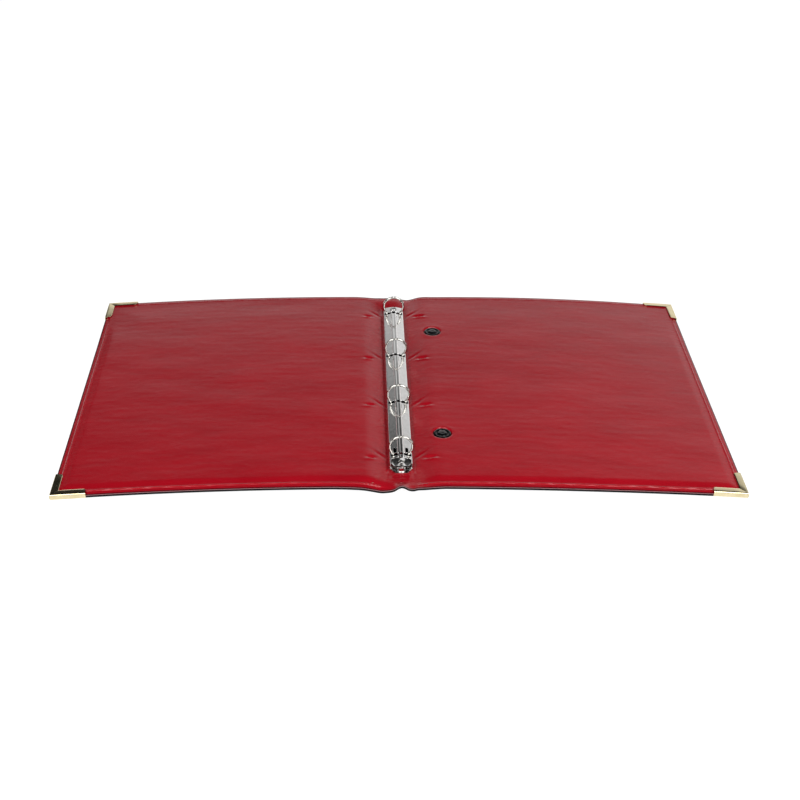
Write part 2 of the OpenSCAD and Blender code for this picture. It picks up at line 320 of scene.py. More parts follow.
def flat_uv(me):
    """UVs in metres, looking straight down, so grain stays with the surface when it bends."""
    uv = me.uv_layers.new(name="UVMap")
    co = np.zeros(len(me.vertices) * 3, np.float32)
    me.vertices.foreach_get("co", co)
    vi = np.zeros(len(me.loops), np.int32)
    me.loops.foreach_get("vertex_index", vi)
    uv.data.foreach_set("uv", co.reshape(-1, 3)[vi][:, :2].astype(np.float32).ravel())


def shade(me, angle):
    me.polygons.foreach_set("use_smooth", [True] * len(me.polygons))
    me.set_sharp_from_angle(angle=math.radians(angle))


def link(name, me):
    ob = bpy.data.objects.new(name, me)
    bpy.context.scene.collection.objects.link(ob)
    return ob


def from_bm(name, bm, materials, angle=35):
    bmesh.ops.remove_doubles(bm, verts=bm.verts, dist=1e-6)
    bmesh.ops.recalc_face_normals(bm, faces=bm.faces)
    me = bpy.data.meshes.new(name)
    bm.to_mesh(me)
    bm.free()
    for m in materials:
        me.materials.append(m)
    shade(me, angle)
    return link(name, me)


# ---------------------------------------------------------------- material helpers


class Nodes:
    """A short way to write a node tree."""

    def __init__(self, name):
        self.mat = bpy.data.materials.new(name)
        self.mat.use_nodes = True
        self.tree = self.mat.node_tree
        self.shader = self.tree.nodes["Principled BSDF"]

    def node(self, kind, **settings):
        n = self.tree.nodes.new(kind)
        for k, v in settings.items():
            setattr(n, k, v)
        return n

    def link(self, a, b):
        self.tree.links.new(a, b)

    def coords(self, source, scale):
        tex = self.node("ShaderNodeTexCoord")
        m = self.node("ShaderNodeMapping")
        m.inputs["Scale"].default_value = scale
        self.link(tex.outputs[source], m.inputs["Vector"])
        return m.outputs["Vector"]

    def noise(self, vector, scale, detail=4.0, rough=0.55, distortion=0.0):
        n = self.node("ShaderNodeTexNoise")
        n.inputs["Scale"].default_value = scale
        n.inputs["Detail"].default_value = detail
        n.inputs["Roughness"].default_value = rough
        n.inputs["Distortion"].default_value = distortion
        self.link(vector, n.inputs["Vector"])
        return n.outputs["Fac"]

    def cells(self, vector, scale):
        n = self.node("ShaderNodeTexVoronoi", feature="SMOOTH_F1")
        n.inputs["Scale"].default_value = scale
        self.link(vector, n.inputs["Vector"])
        return n.outputs["Distance"]

    def spread(self, value, low, high):
        """Maps noise, which mostly lies between 0.3 and 0.7, to low to high."""
        m = self.node("ShaderNodeMapRange")
        m.inputs["From Min"].default_value = 0.3
        m.inputs["From Max"].default_value = 0.7
        m.inputs["To Min"].default_value = low
        m.inputs["To Max"].default_value = high
        self.link(value, m.inputs["Value"])
        return m.outputs["Result"]

    def colours(self, value, stops):
        r = self.node("ShaderNodeValToRGB")
        r.color_ramp.elements[0].position = stops[0][0]
        r.color_ramp.elements[0].color = (*stops[0][1], 1)
        r.color_ramp.elements[1].position = stops[-1][0]
        r.color_ramp.elements[1].color = (*stops[-1][1], 1)
        for p, c in stops[1:-1]:
            e = r.color_ramp.elements.new(p)
            e.color = (*c, 1)
        self.link(value, r.inputs["Fac"])
        return r.outputs["Color"]

    def math(self, op, a, b):
        n = self.node("ShaderNodeMath", operation=op)
        for i, v in enumerate((a, b)):
            if isinstance(v, (int, float)):
                n.inputs[i].default_value = v
            else:
                self.link(v, n.inputs[i])
        return n.outputs[0]

    def painted_edge_shade(self, colour, width):
        """Painted shade: darkens a narrow line along a cover's free edges."""
        tex = self.node("ShaderNodeTexCoord")
        split = self.node("ShaderNodeSeparateXYZ")
        self.link(tex.outputs["UV"], split.inputs["Vector"])
        over = [self.math("SUBTRACT", self.math("ABSOLUTE", split.outputs[i], 0.0), size * MM - width)
                for i, size in ((0, COVER_X), (1, HALF_H))]
        edge = self.math("MULTIPLY", self.math("MAXIMUM", *over), 1.0 / width)
        r = self.node("ShaderNodeMapRange", interpolation_type="SMOOTHSTEP")
        r.inputs["From Min"].default_value = -0.1
        r.inputs["From Max"].default_value = 0.3
        self.link(edge, r.inputs["Value"])
        # inputs 6 and 7 and output 2 are the colour sockets of the Mix node
        m = self.node("ShaderNodeMix", data_type="RGBA")
        self.link(r.outputs["Result"], m.inputs["Factor"])
        self.link(colour, m.inputs[6])
        # colour of the painted edge shade
        m.inputs[7].default_value = (0.07, 0.001, 0.004, 1)
        return m.outputs[2]

    def bump(self, height, strength, distance, normal=None):
        b = self.node("ShaderNodeBump")
        b.inputs["Strength"].default_value = strength
        b.inputs["Distance"].default_value = distance
        self.link(height, b.inputs["Height"])
        if normal is not None:
            self.link(normal, b.inputs["Normal"])
        return b.outputs["Normal"]

    def rounded(self, radius, samples=4):
        b = self.node("ShaderNodeBevel", samples=samples)
        b.inputs["Radius"].default_value = radius
        return b.outputs["Normal"]

    def set(self, **values):
        for k, v in values.items():
            socket = self.shader.inputs[k.replace("_", " ")]
            if isinstance(v, bpy.types.NodeSocket):
                self.link(v, socket)
            else:
                socket.default_value = v
        return self.mat


def red_vinyl():
    """Red lining: streaks drawn out across the covers over fine leather-like cells."""
    n = Nodes("red_vinyl")
    flat = n.coords("UV", (1, 1, 1))
    drawn = n.coords("UV", (0.3, 1.0, 1.0))
    streak = n.noise(drawn, 210, 3, 0.5, 0.4)
    long_streak = n.noise(drawn, 60, 3, 0.5, 0.6)
    grain = n.noise(flat, 2400, 3, 0.6)
    cell = n.cells(flat, 1500)
    blotch = n.noise(flat, 9, 3, 0.5)
    shade_mix = n.math("ADD", n.math("MULTIPLY", blotch, 0.5), n.math("MULTIPLY", long_streak, 0.5))
    colour = n.colours(shade_mix, [(0.3, (0.28, 0.0022, 0.008)), (0.5, (0.32, 0.0028, 0.0095)),
                                   (0.7, (0.355, 0.004, 0.0115))])
    # painted shade: a dark line along the covers' free edges
    colour = n.painted_edge_shade(colour, 0.0013)
    fine = n.math("ADD", n.math("MULTIPLY", streak, 0.5), n.math("MULTIPLY", grain, 0.5))
    rough = n.spread(fine, 0.22, 0.31)
    b = n.bump(long_streak, 0.16, 0.0005)
    b = n.bump(streak, 0.34, 0.00018, b)
    b = n.bump(cell, 0.3, 0.00006, b)
    b = n.bump(grain, 0.25, 0.00004, b)
    return n.set(Base_Color=colour, Roughness=rough, Normal=b, Specular_IOR_Level=0.32)


def black_vinyl():
    """Black outer sheet with a fine grain."""
    n = Nodes("black_vinyl")
    flat = n.coords("UV", (1, 1, 1))
    cell = n.cells(flat, 1300)
    grain = n.noise(flat, 2600, 3, 0.6)
    blotch = n.noise(flat, 14, 4, 0.55)
    colour = n.colours(blotch, [(0.3, (0.006, 0.006, 0.0065)), (0.7, (0.011, 0.011, 0.012))])
    rough = n.spread(grain, 0.42, 0.56)
    b = n.bump(cell, 0.5, 0.0001)
    b = n.bump(grain, 0.3, 0.00004, b)
    return n.set(Base_Color=colour, Roughness=rough, Normal=b)


def cut_edge(name, tint, gloss):
    """Cut edge of a vinyl sheet."""
    n = Nodes(name)
    along = n.coords("UV", (1, 1, 1))
    speck = n.noise(along, 900, 3, 0.6)
    colour = n.colours(speck, [(0.3, tuple(0.8 * c for c in tint)), (0.7, tint)])
    b = n.bump(speck, 0.4, 0.0001)
    return n.set(Base_Color=colour, Roughness=0.6, Normal=b, Specular_IOR_Level=gloss)


def nickel():
    """Bright nickel plate on the cover plate, with worn clouds and fine lengthwise scratches."""
    n = Nodes("bright_nickel")
    pos = n.coords("Object", (1, 1, 1))
    drawn = n.coords("Object", (30, 1, 30))
    wear = n.noise(pos, 260, 4, 0.6)
    scratch = n.noise(drawn, 60, 3, 0.6)
    pit = n.noise(pos, 1800, 2, 0.5)
    colour = n.colours(wear, [(0.3, (0.62, 0.61, 0.60)), (0.7, (0.74, 0.735, 0.725))])
    fine = n.math("ADD", n.math("MULTIPLY", wear, 0.5), n.math("MULTIPLY", scratch, 0.5))
    rough = n.spread(fine, 0.10, 0.2)
    b = n.bump(scratch, 0.12, 0.00004, n.rounded(0.00025))
    b = n.bump(pit, 0.05, 0.00003, b)
    return n.set(Base_Color=colour, Metallic=1.0, Roughness=rough, Normal=b)


def plated(name, dark, light, smooth_to, rough_to):
    """Polished nickel on round wire and small pressings, with faint clouding."""
    n = Nodes(name)
    pos = n.coords("Object", (1, 1, 1))
    cloud = n.noise(pos, 420, 3, 0.5)
    pit = n.noise(pos, 2600, 2, 0.5)
    colour = n.colours(cloud, [(0.3, dark), (0.7, light)])
    rough = n.spread(cloud, smooth_to, rough_to)
    return n.set(Base_Color=colour, Metallic=1.0, Roughness=rough, Normal=n.bump(pit, 0.03, 0.00002))


def satin_nickel():
    """Tumbled nickel on the rivets and washers."""
    n = Nodes("satin_nickel")
    pos = n.coords("Object", (1, 1, 1))
    cloud = n.noise(pos, 500, 3, 0.5)
    grain = n.noise(pos, 3000, 2, 0.5)
    colour = n.colours(cloud, [(0.3, (0.70, 0.69, 0.67)), (0.7, (0.80, 0.79, 0.77))])
    rough = n.spread(cloud, 0.3, 0.4)
    return n.set(Base_Color=colour, Metallic=1.0, Roughness=rough, Normal=n.bump(grain, 0.1, 0.00002))


def spring_steel():
    """Brushed steel on the rails, coloured very dark as painted shade, so that they show black through the
    plate's openings.
    """
    n = Nodes("spring_steel")
    pos = n.coords("Object", (25, 1, 25))
    brushed = n.noise(pos, 90, 4, 0.6)
    # near-black colour: painted shade inside the cover plate
    colour = n.colours(brushed, [(0.3, (0.010, 0.010, 0.011)), (0.7, (0.018, 0.018, 0.019))])
    rough = n.spread(brushed, 0.3, 0.45)
    b = n.bump(brushed, 0.2, 0.00005)
    return n.set(Base_Color=colour, Metallic=1.0, Roughness=rough, Normal=b)


def pale_brass():
    """Polished pale brass on the corner protectors."""
    n = Nodes("pale_brass")
    pos = n.coords("Object", (1, 1, 1))
    cloud = n.noise(pos, 160, 4, 0.6)
    fine = n.noise(pos, 1500, 3, 0.6)
    colour = n.colours(cloud, [(0.3, (0.66, 0.56, 0.34)), (0.7, (0.76, 0.67, 0.44))])
    mixed = n.math("ADD", n.math("MULTIPLY", cloud, 0.6), n.math("MULTIPLY", fine, 0.4))
    rough = n.spread(mixed, 0.07, 0.16)
    b = n.bump(cloud, 0.10, 0.00015)
    b = n.bump(fine, 0.06, 0.00003, b)
    return n.set(Base_Color=colour, Metallic=1.0, Roughness=rough, Normal=b)


def black_plastic():
    """Glossy black plastic on the studs."""
    n = Nodes("black_plastic")
    pos = n.coords("Object", (1, 1, 1))
    fine = n.noise(pos, 1700, 3, 0.6)
    cloud = n.noise(pos, 300, 3, 0.5)
    colour = n.colours(cloud, [(0.3, (0.0012, 0.0015, 0.002)), (0.7, (0.0025, 0.003, 0.0038))])
    rough = n.spread(fine, 0.1, 0.17)
    b = n.bump(fine, 0.15, 0.00004)
    return n.set(Base_Color=colour, Roughness=rough, Normal=b, Specular_IOR_Level=0.38)


def greyboard():
    """Grey paper board with fibres."""
    n = Nodes("greyboard_paper")
    pos = n.coords("Object", (1, 1, 1))
    fibre = n.noise(pos, 900, 5, 0.7)
    fleck = n.noise(pos, 220, 3, 0.6)
    colour = n.colours(fleck, [(0.3, (0.30, 0.27, 0.22)), (0.7, (0.40, 0.37, 0.31))])
    return n.set(Base_Color=colour, Roughness=0.85, Normal=n.bump(fibre, 0.5, 0.0001))


def floor_white():
    """White floor that gives out its own light, so that it stays white in the picture."""
    n = Nodes("floor_white")
    pos = n.coords("Object", (1, 1, 1))
    fine = n.noise(pos, 40, 3, 0.5)
    colour = n.colours(fine, [(0.3, (0.20, 0.20, 0.20)), (0.7, (0.21, 0.21, 0.21))])
    n.set(Base_Color=colour, Roughness=0.9)
    return n.set(Emission_Color=(1, 1, 1, 1), Emission_Strength=0.95)


RED = red_vinyl()
BLACK = black_vinyl()
RED_CUT = cut_edge("red_cut_edge", (0.33, 0.17, 0.18), 0.3)
BLACK_CUT = cut_edge("black_cut_edge", (0.005, 0.005, 0.0055), 0.08)
NICKEL = nickel()
# a darker copy of the polished nickel below: painted shade that dims the ring wires and the lever pin
SHADED_WIRE = plated("nickel_wire_painted_shade", (0.44, 0.43, 0.40), (0.54, 0.53, 0.50), 0.07, 0.12)
BRIGHT = plated("mirror_nickel", (0.66, 0.65, 0.64), (0.76, 0.755, 0.745), 0.07, 0.12)
SATIN = satin_nickel()
SHADED_SPRING = spring_steel()
BRASS = pale_brass()
PLASTIC = black_plastic()
BOARD = greyboard()

# ---------------------------------------------------------------- lining and outer skin


def side_lines(side):
    """Grid lines across one cover, closer at the rings, the free edge and, on the right, the studs."""
    near_stud = [(29.0, 45.0, 0.55)] if side > 0 else [(29.0, 45.0, 1.1)]
    xs = lines((0.0, 10.0, 1.0), (10.0, 29.0, 0.55), *near_stud, (45.0, COVER_X - 14.0, 2.6),
               (COVER_X - 14.0, COVER_X - 6.0, 0.8), (COVER_X - 6.0, COVER_X, 0.42))
    return np.sort(xs * side)


def length_lines(side):
    """Grid lines along the binder, closer at its ends, the rings and, on the right, the studs."""
    edge = ((-HALF_H, -HALF_H + 6.0, 0.42), (-HALF_H + 6.0, -HALF_H + 16.0, 0.8))
    mid = []
    at = -HALF_H + 16.0
    spots = [(y - 4.0, y + 7.0, 0.6) for y in sorted(RING_Y)]
    if side > 0:
        spots += [(sy - 9.0, sy + 9.0, 0.55) for _, sy, _ in STUDS]
    spots.sort()
    for a, b, step in spots:
        if a > at:
            mid.append((at, a, 1.35))
        mid.append((max(a, at), b, step))
        at = b
    mid.append((at, HALF_H - 16.0, 1.35))
    far = ((HALF_H - 16.0, HALF_H - 6.0, 0.8), (HALF_H - 6.0, HALF_H, 0.42))
    return lines(*edge, *mid, *far)


def make_covers():
    """Lining, outer skin and board of each cover. Both sheets go over from the spine to the cover between
    13.9 and 19.7 mm from the middle, where the vinyl folds."""
    for side, cover in ((-1, "front_cover"), (1, "back_cover")):
        word = cover.split("_")[0]
        xs, ys = side_lines(side), length_lines(side)
        lining = sheet_solid(word + "_padded_lining", xs, ys, lining_top, lining_bottom, [RED, RED_CUT])
        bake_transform(lining)
        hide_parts(word + "_lining", word + "_padding")
        # the outer skin has no stud holes, so it takes the plainer grid on both sides
        sx = np.sort(-side * side_lines(-1))
        sy = length_lines(-1)
        skin = sheet_solid(word + "_outer_skin", sx, sy, skin_top, lambda a, b, c: skin_bottom(a, b),
                           [BLACK, BLACK_CUT])
        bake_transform(skin)
        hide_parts(word + "_outer_sheet")
        bx = np.sort(side * lines((23.2, COVER_X - 6.5, 5.0)))
        by = lines((-HALF_H + 6.5, HALF_H - 6.5, 8.0))
        board = sheet_solid(word + "_greyboard", bx, by, lambda a, b: base_under(a, b) + BOARD_TOP,
                            lambda a, b, c: base_under(a, b) + BOARD_LOW, [BOARD])
        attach(board, cover)
        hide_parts(word + "_board")
        if side < 0:
            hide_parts("spine_lining")
            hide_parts("spine_outer_sheet")


# ---------------------------------------------------------------- metal corners


def corner_profile():
    """Outer line of the folded channel, as (inward, height) from its outer face, top lip first."""
    half = 2.53
    r = 0.85
    pts = [(6.5, half - 0.28), (6.2, half - 0.02), (5.6, half), (2.6, half + 0.02)]
    for i in range(7):
        a = math.radians(90 + 90 * i / 6)
        pts.append((r + r * math.cos(a), half - r + r * math.sin(a)))
    for i in range(1, 4):
        t = i / 4
        pts.append((-0.06 * math.sin(math.pi * t), (half - r) * (1 - 2 * t)))
    for i in range(7):
        a = math.radians(180 + 90 * i / 6)
        pts.append((r + r * math.cos(a), -half + r + r * math.sin(a)))
    pts += [(2.6, -half), (5.6, -half), (6.2, -half + 0.02), (6.5, -half + 0.28)]
    return pts


def offset_line(pts, t):
    out = []
    for i, p in enumerate(pts):
        a = pts[max(i - 1, 0)]
        b = pts[min(i + 1, len(pts) - 1)]
        dx, dy = b[0] - a[0], b[1] - a[1]
        length = math.hypot(dx, dy)
        # the material is on the side of the cover, to the left of the line's run
        out.append((p[0] - dy / length * t, p[1] + dx / length * t))
    return out


def corner_leg(bm, swap, leg=CORNER_LEG, tip_gap=0.25):
    """One leg of the corner in local millimetres: the tip at the origin, the legs along -X and +Y."""
    outer = corner_profile()
    inner = offset_line(outer, 0.45)
    loop = outer + inner[::-1]
    stations = []
    for k in range(9):
        t = k / 8
        ring = []
        for d, z in loop:
            free = leg - (3.0 - math.sqrt(max(0.0, 9.0 - max(0.0, d - 3.5) ** 2)))
            start = max(d, 0.0) + tip_gap * 0.4
            along = start + (free - start) * t
            dip = -0.16 * math.exp(-(t * 8) ** 2) if z > 0 else 0.0
            curl = -0.1 * math.exp(-((1 - t) * 9) ** 2) * (1 if z > 0 else -1)
            x, y = (-along, d) if not swap else (-d, along)
            ring.append(bm.verts.new((x * MM, y * MM, (z + dip + curl) * MM)))
        stations.append(ring)
    n = len(loop)
    for a, b in zip(stations, stations[1:]):
        for i in range(n):
            bm.faces.new((a[i], a[(i + 1) % n], b[(i + 1) % n], b[i]))
    m = len(outer)
    for ring in (stations[0], stations[-1]):
        for i in range(m - 1):
            bm.faces.new((ring[i], ring[i + 1], ring[n - 2 - i], ring[n - 1 - i]))


def make_corner(node, body, mirror_x, mirror_y):
    """A metal corner, tilted with the bowed cover, built at the lower right and mirrored from there."""
    bm = bmesh.new()
    corner_leg(bm, False)
    corner_leg(bm, True)
    slope = math.atan((COVER_X - CORNER_LEG / 2 - BOW_X0) / BOW_R)
    edge_x = COVER_X + CORNER_OUT_X
    z = CREST - (edge_x - BOW_X0) ** 2 / (2 * BOW_R) + 1.95
    turn = Matrix.Rotation(slope, 4, "Y")
    place = Matrix.Translation((edge_x * MM, -(HALF_H + CORNER_OUT_Y) * MM, z * MM)) @ turn
    bm.transform(place)
    flip = Matrix.Diagonal((-1 if mirror_x else 1, -1 if mirror_y else 1, 1, 1))
    bm.transform(flip)
    ob = from_bm(node.replace("corner", "metal_corner"), bm, [BRASS], 40)
    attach(ob, body)
    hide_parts(node)


def make_corners():
    make_corner("back_lower_corner", "back_cover", False, False)
    make_corner("back_upper_corner", "back_cover", False, True)
    make_corner("front_lower_corner", "front_cover", True, False)
    make_corner("front_upper_corner", "front_cover", True, True)


# ---------------------------------------------------------------- studs


def lathe(bm, centre, profile, steps=64, wave=None):
    """Turns a profile of (radius, height) round a vertical axis. wave lifts points by radius and angle."""
    rings = []
    for r, z in profile:
        ring = []
        for i in range(steps):
            a = 2 * math.pi * i / steps
            dz = wave(r, a) if wave else 0.0
            at = (centre[0] + r * math.cos(a), centre[1] + r * math.sin(a), centre[2] + z + dz)
            ring.append(bm.verts.new([c * MM for c in at]))
        rings.append(ring)
    for a, b in zip(rings, rings[1:]):
        for i in range(steps):
            bm.faces.new((a[i], a[(i + 1) % steps], b[(i + 1) % steps], b[i]))
    bm.faces.new(rings[0][::-1])
    bm.faces.new(rings[-1])


def stud_wave(r, a):
    """Six soft flutes on the stud's domed middle."""
    return 0.1 * math.cos(6 * a) * math.exp(-((r - 1.9) / 0.8) ** 2)


def make_studs():
    for node, (sx, sy, top) in zip(("upper_stud", "lower_stud"), STUDS):
        seat = top - 0.75
        # a rounded outer ring, a groove and a low dome with a dimple
        profile = [(7.2, 0.0), (7.5, 0.1), (7.55, 0.4), (7.4, 0.62), (7.1, 0.78), (6.7, 0.92), (6.2, 1.0),
                   (5.7, 0.98), (5.3, 0.86), (5.0, 0.62), (4.8, 0.3), (4.6, 0.2), (4.4, 0.3), (4.2, 0.6),
                   (3.9, 0.82), (3.4, 1.0), (2.8, 1.14), (2.1, 1.24), (1.5, 1.28), (1.1, 1.24), (0.8, 1.1),
                   (0.5, 1.02), (0.2, 1.0)]
        bm = bmesh.new()
        lathe(bm, (sx, sy, seat), profile, 72, stud_wave)
        ob = from_bm(node + "_head", bm, [PLASTIC], 60)
        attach(ob, "back_cover")
        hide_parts(node)


# ---------------------------------------------------------------- lever


PAD_R = 8.0
PAD_Y = -5.2
TIP_Y = -11.4
BACK_Y = 0.6


def lever_surface(u, v):
    """Point of the lever's upper face, measured from its pin. u goes from 0 behind the pin to 1 at the tip,
    v from -1 to 1 across."""
    y = BACK_Y - (BACK_Y - TIP_Y) * u
    round_pad = math.sqrt(max(0.0, PAD_R**2 - (y - PAD_Y) ** 2))
    half = round_pad * np.interp(y, [TIP_Y, -9.8, -0.6, BACK_Y], [0.86, 1.0, 1.0, 0.9])
    pad = through(np.array(y), [(TIP_Y, 3.74), (-10.9, 3.96), (-10.3, 4.08), (-9.0, 4.1), (-5.0, 4.12),
                                (BACK_Y, 4.14)])
    x = half * v
    # the ridge down the middle: its width and its height
    waist = through(np.array(y), [(TIP_Y, 2.4), (-9.2, 1.9), (-6.6, 1.15), (-3.0, 1.9), (BACK_Y, 2.3)])
    hump = 0.75 + 0.5 * float(ramp(-5.4, -3.6, y)) + 0.4 * math.exp(-(((y + 7.5) / 1.1) ** 2))
    hump -= 0.35 * float(ramp(-3.2, -0.4, y))
    ridge = hump * math.exp(-((x / float(waist)) ** 2))
    dish = math.exp(-(((abs(x) - 4.9) / 2.7) ** 2) - (((y + 5.4) / 3.6) ** 2))
    rim = 0.16 * math.exp(-(((abs(v) - 1.0) / 0.1) ** 2))
    rim *= np.interp(y, [TIP_Y, -9.0, -2.0, BACK_Y], [0.0, 1.0, 1.0, 0.0])
    return x, y, float(pad) + ridge - 0.03 * dish + rim


def make_lever():
    """Thumb lever: a pressed pad, thinner at its tip, with a hub round the pin and two fingers."""
    pin_lo, pin_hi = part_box("lever_pin")
    py = (pin_lo.y + pin_hi.y) / 2 / MM
    pz = (pin_lo.z + pin_hi.z) / 2 / MM
    bm = bmesh.new()
    nu, nv = 56, 44
    upper = [[None] * (nv + 1) for _ in range(nu + 1)]
    lower = [[None] * (nv + 1) for _ in range(nu + 1)]
    for i in range(nu + 1):
        for j in range(nv + 1):
            x, y, z = lever_surface(i / nu, -1 + 2 * j / nv)
            upper[i][j] = bm.verts.new((x * MM, (y + py) * MM, (z + pz) * MM))
            thick = 0.7 - 0.34 * float(ramp(-8.2, -10.4, y))
            under_y = y + 0.2 * (i / nu) + py
            lower[i][j] = bm.verts.new((x * 0.97 * MM, under_y * MM, (z - thick + pz) * MM))
    for i in range(nu):
        for j in range(nv):
            bm.faces.new((upper[i][j], upper[i][j + 1], upper[i + 1][j + 1], upper[i + 1][j]))
            bm.faces.new((lower[i][j], lower[i + 1][j], lower[i + 1][j + 1], lower[i][j + 1]))
    for i in range(nu):
        for j in (0, nv):
            bm.faces.new((upper[i][j], upper[i + 1][j], lower[i + 1][j], lower[i][j]))
    for j in range(nv):
        for i in (0, nu):
            bm.faces.new((upper[i][j], upper[i][j + 1], lower[i][j + 1], lower[i][j]))
    # hub round the pin
    n = 40
    rings = []
    for x, r in ((-3.5, 1.05), (-3.5, 2.0), (-3.2, 2.3), (3.2, 2.3), (3.5, 2.0), (3.5, 1.05)):
        rings.append([bm.verts.new((x * MM, (py + r * math.cos(2 * math.pi * k / n)) * MM,
                                    (pz + r * math.sin(2 * math.pi * k / n)) * MM)) for k in range(n)])
    for a, b in zip(rings, rings[1:] + rings[:1]):
        for k in range(n):
            bm.faces.new((a[k], a[(k + 1) % n], b[(k + 1) % n], b[k]))
    # two fingers that hold the rails' ends
    for z0, z1 in ((-2.2, -1.4), (0.4, 1.2)):
        box = bmesh.ops.create_cube(bm, size=1.0)["verts"]
        middle = Matrix.Translation((0, (py + 3.3) * MM, (pz + (z0 + z1) / 2) * MM))
        size = Matrix.Diagonal((2.4 * MM, 3.2 * MM, (z1 - z0) * MM, 1))
        bmesh.ops.transform(bm, verts=box, matrix=middle @ size)
        edges = list({e for v in box for e in v.link_edges})
        bmesh.ops.bevel(bm, geom=edges, offset=0.18 * MM, segments=2, affect="EDGES")
    ob = from_bm("thumb_lever", bm, [BRIGHT], 55)
    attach(ob, "lever")
    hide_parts("trigger_lever")


# ---------------------------------------------------------------- rings and rivets


def ring_path(radius, centre_z, foot_x, low_z):
    """Centre line of one half ring in X and Z: a leg, a bend, then the arc up to the joint at the top."""
    leg_top = 15.0
    path = [(foot_x, low_z + (leg_top - low_z) * i / 4) for i in range(5)]
    a0 = math.radians(-43.0)
    p0, p3 = (foot_x, leg_top), (radius * math.cos(a0), centre_z + radius * math.sin(a0))
    p1 = (foot_x, 15.9)
    p2 = (p3[0] + 0.7 * math.sin(a0), p3[1] - 0.7 * math.cos(a0))
    for i in range(1, 9):
        t = i / 9
        w = ((1 - t) ** 3, 3 * t * (1 - t) ** 2, 3 * t * t * (1 - t), t**3)
        path.append(tuple(sum(k * p[c] for k, p in zip(w, (p0, p1, p2, p3))) for c in (0, 1)))
    a1 = math.radians(89.2)
    for i in range(49):
        a = a0 + (a1 - a0) * i / 48
        path.append((radius * math.cos(a), centre_z + radius * math.sin(a)))
    return path


def tube(bm, path, y, wire, side, steps=24):
    """Round wire along a path in the plane at y, with rounded tips."""
    rings = []
    count = len(path)
    for i, (px, pz) in enumerate(path):
        a, b = path[max(i - 1, 0)], path[min(i + 1, count - 1)]
        tx, tz = b[0] - a[0], b[1] - a[1]
        length = math.hypot(tx, tz)
        nx, nz = -tz / length, tx / length
        r = wire * (0.86 if i in (0, count - 1) else 1.0)
        rings.append([bm.verts.new((side * (px + nx * r * math.cos(k)) * MM, (y + r * math.sin(k)) * MM,
                                    (pz + nz * r * math.cos(k)) * MM))
                      for k in (2 * math.pi * j / steps for j in range(steps))])
    for a, b in zip(rings, rings[1:]):
        for k in range(steps):
            bm.faces.new((a[k], a[(k + 1) % steps], b[(k + 1) % steps], b[k]))
    bm.faces.new(rings[0][::-1])
    bm.faces.new(rings[-1])


def make_rings():
    for i, y in enumerate(RING_Y, 1):
        for side, word in ((-1, "left"), (1, "right")):
            node = f"{word}_ring_{i}"
            lo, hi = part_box(node)
            outer = max(abs(lo.x), abs(hi.x)) / MM
            radius = outer - WIRE_R
            centre_z = hi.z / MM - outer
            bm = bmesh.new()
            tube(bm, ring_path(radius, centre_z, RING_FOOT_X, lo.z / MM), y, WIRE_R - 0.03, side)
            ob = from_bm(f"{word}_ring_wire_{i}", bm, [SHADED_WIRE], 50)
            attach(ob, f"{word}_rail_and_rings")
            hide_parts(node)


RIB_HALF_W = 2.3
ROOF_PITCH = math.radians(12.4)


def roof_drop(x):
    """How far the cover plate's roof has sloped down at x."""
    return max(0.0, abs(x) - RIB_HALF_W) * math.tan(ROOF_PITCH)


def make_rib():
    """Pressed rib along the cover plate: two rounded shoulders with a shallow groove, open at each ring."""
    cad_rib_h, half = 0.6, 2.75
    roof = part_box("cover_plate")[1].z / MM - cad_rib_h
    xs = np.linspace(-half, half, 45)
    height = 0.74 * (1.0 - (np.abs(xs) / half) ** 6) - 0.13 * hill(xs, 0.0, 0.5)
    gaps = [y for c in sorted(RING_Y) for y in (c - 1.75, c + 1.75)]
    stops = [-124.9] + gaps + [122.9]
    bm = bmesh.new()
    for y0, y1 in zip(stops[::2], stops[1::2]):
        rows = []
        for y in lines((y0, y0 + 0.4, 0.1), (y0 + 0.4, y1 - 0.4, 3.0), (y1 - 0.4, y1, 0.1)):
            end = min(min(y - y0, y1 - y) / 0.3, 1.0)
            full = 0.3 + 0.7 * math.sqrt(max(0.0, 1.0 - (1.0 - end) ** 2))
            rows.append([(bm.verts.new((x * MM, y * MM, (roof - roof_drop(x) + h * full) * MM)),
                          bm.verts.new((x * MM, y * MM, (roof - roof_drop(x) - 0.15) * MM)))
                         for x, h in zip(xs, height)])
        last = len(xs) - 1
        for a, b in zip(rows, rows[1:]):
            for i in range(last):
                bm.faces.new((a[i][0], a[i + 1][0], b[i + 1][0], b[i][0]))
                bm.faces.new((a[i][1], b[i][1], b[i + 1][1], a[i + 1][1]))
            for i in (0, last):
                bm.faces.new((a[i][0], b[i][0], b[i][1], a[i][1]))
        for row in (rows[0], rows[-1]):
            for i in range(last):
                bm.faces.new((row[i][0], row[i][1], row[i + 1][1], row[i + 1][0]))
    ob = from_bm("plate_rib", bm, [BRIGHT], 60)
    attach(ob, "spine")


